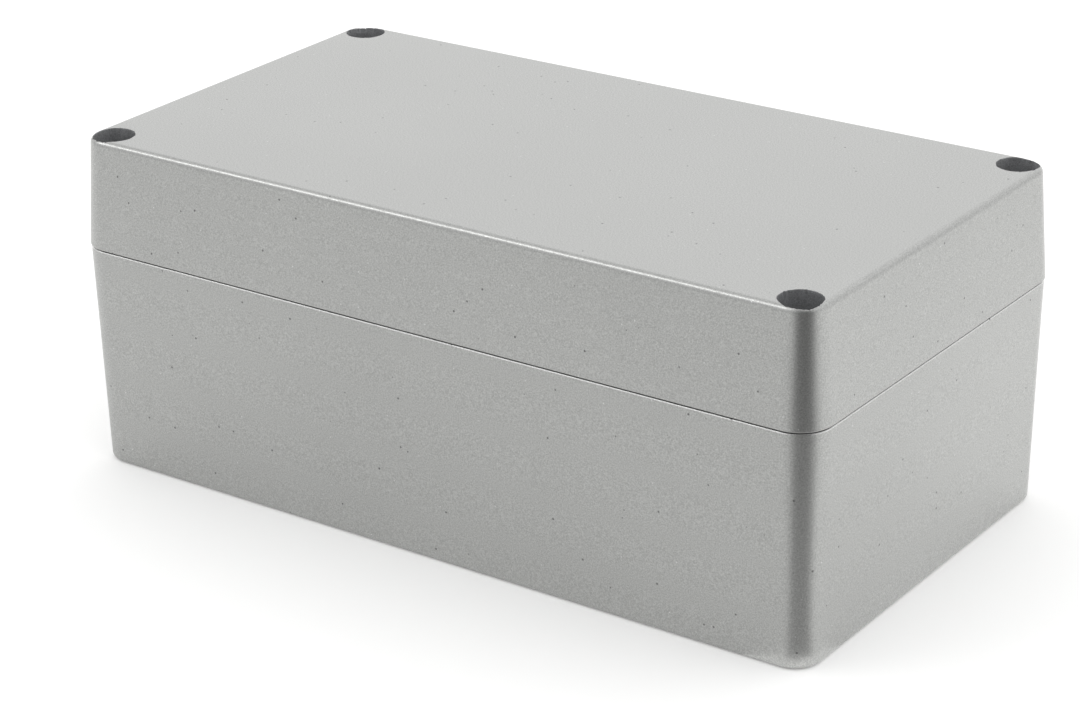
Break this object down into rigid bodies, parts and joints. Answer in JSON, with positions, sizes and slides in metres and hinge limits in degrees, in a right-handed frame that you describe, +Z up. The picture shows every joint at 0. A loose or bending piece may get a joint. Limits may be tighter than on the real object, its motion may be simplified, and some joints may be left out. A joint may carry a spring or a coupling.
{
  "type": "die cast aluminium box",
  "caption": "Rectangular sealed die cast aluminium enclosure with a drafted base, a gasketed screw-down lid with sunk screw wells, and an earth terminal in each casting.",
  "frame": {"origin": "centre of the underside of the closed box, on the surface it stands on", "axes": "+X along the long side, +Y towards the rear long side, +Z up through the lid"},
  "size_m": [0.22, 0.12, 0.09],
  "materials": {
    "casting": "satin light grey stoved paint over die cast aluminium",
    "seal": "matt black",
    "screws": "plain stainless steel",
    "washers": "natural polyamide",
    "clamps": "zinc plated"
  },
  "bodies": {
    "base": {"base": "casting"},
    "lid": {"lid": "casting", "gasket": "seal"},
    "washer_front_left": {"retaining_washer_front_left": "washers"},
    "screw_front_left": {"lid_screw_front_left": "screws"},
    "washer_front_right": {"retaining_washer_front_right": "washers"},
    "screw_front_right": {"lid_screw_front_right": "screws"},
    "washer_rear_left": {"retaining_washer_rear_left": "washers"},
    "screw_rear_left": {"lid_screw_rear_left": "screws"},
    "washer_rear_right": {"retaining_washer_rear_right": "washers"},
    "screw_rear_right": {"lid_screw_rear_right": "screws"},
    "base_terminal_clamp": {"base_earth_clamp": "clamps", "base_earth_spring_washer": "screws"},
    "base_terminal_screw": {"base_earth_screw": "screws"},
    "lid_terminal_clamp": {"lid_earth_clamp": "clamps", "lid_earth_spring_washer": "screws"},
    "lid_terminal_screw": {"lid_earth_screw": "screws"}
  },
  "joints": [
    {"name": "lid_lift", "type": "slide", "parent": "base", "child": "lid", "axis": [0, 0, 1], "range_m": [0, 0.1]},
    {"name": "front_left_rise", "type": "slide", "parent": "lid", "child": "washer_front_left", "axis": [0, 0, 1], "range_m": [0, 0.0075]},
    {"name": "front_left_turn", "type": "hinge", "parent": "washer_front_left", "child": "screw_front_left", "pos_m": [-0.1015, -0.052, 0.073], "axis": [0, 0, 1], "range_deg": [0, 2701]},
    {"name": "front_right_rise", "type": "slide", "parent": "lid", "child": "washer_front_right", "axis": [0, 0, 1], "range_m": [0, 0.0075]},
    {"name": "front_right_turn", "type": "hinge", "parent": "washer_front_right", "child": "screw_front_right", "pos_m": [0.1015, -0.052, 0.073], "axis": [0, 0, 1], "range_deg": [0, 2701]},
    {"name": "rear_left_rise", "type": "slide", "parent": "lid", "child": "washer_rear_left", "axis": [0, 0, 1], "range_m": [0, 0.0075]},
    {"name": "rear_left_turn", "type": "hinge", "parent": "washer_rear_left", "child": "screw_rear_left", "pos_m": [-0.1015, 0.052, 0.073], "axis": [0, 0, 1], "range_deg": [0, 2701]},
    {"name": "rear_right_rise", "type": "slide", "parent": "lid", "child": "washer_rear_right", "axis": [0, 0, 1], "range_m": [0, 0.0075]},
    {"name": "rear_right_turn", "type": "hinge", "parent": "washer_rear_right", "child": "screw_rear_right", "pos_m": [0.1015, 0.052, 0.073], "axis": [0, 0, 1], "range_deg": [0, 2701]},
    {"name": "base_terminal_open", "type": "slide", "parent": "base", "child": "base_terminal_clamp", "axis": [0, 0, 1], "range_m": [0, 0.0024]},
    {"name": "base_terminal_turn", "type": "hinge", "parent": "base_terminal_clamp", "child": "base_terminal_screw", "pos_m": [-0.088, 0, 0.013], "axis": [0, 0, 1], "range_deg": [0, 1081]},
    {"name": "lid_terminal_open", "type": "slide", "parent": "lid", "child": "lid_terminal_clamp", "axis": [0, 0, -1], "range_m": [0, 0.0024]},
    {"name": "lid_terminal_turn", "type": "hinge", "parent": "lid_terminal_clamp", "child": "lid_terminal_screw", "pos_m": [-0.088, 0, 0.0772], "axis": [0, 0, -1], "range_deg": [0, 1081]}
  ],
  "couplings": [
    {"joint": "front_left_turn", "follows": "front_left_rise", "rad_per_m": 6283.2},
    {"joint": "front_right_turn", "follows": "front_right_rise", "rad_per_m": 6283.2},
    {"joint": "rear_left_turn", "follows": "rear_left_rise", "rad_per_m": 6283.2},
    {"joint": "rear_right_turn", "follows": "rear_right_rise", "rad_per_m": 6283.2},
    {"joint": "base_terminal_turn", "follows": "base_terminal_open", "rad_per_m": 7854},
    {"joint": "lid_terminal_turn", "follows": "lid_terminal_open", "rad_per_m": 7854}
  ]
}
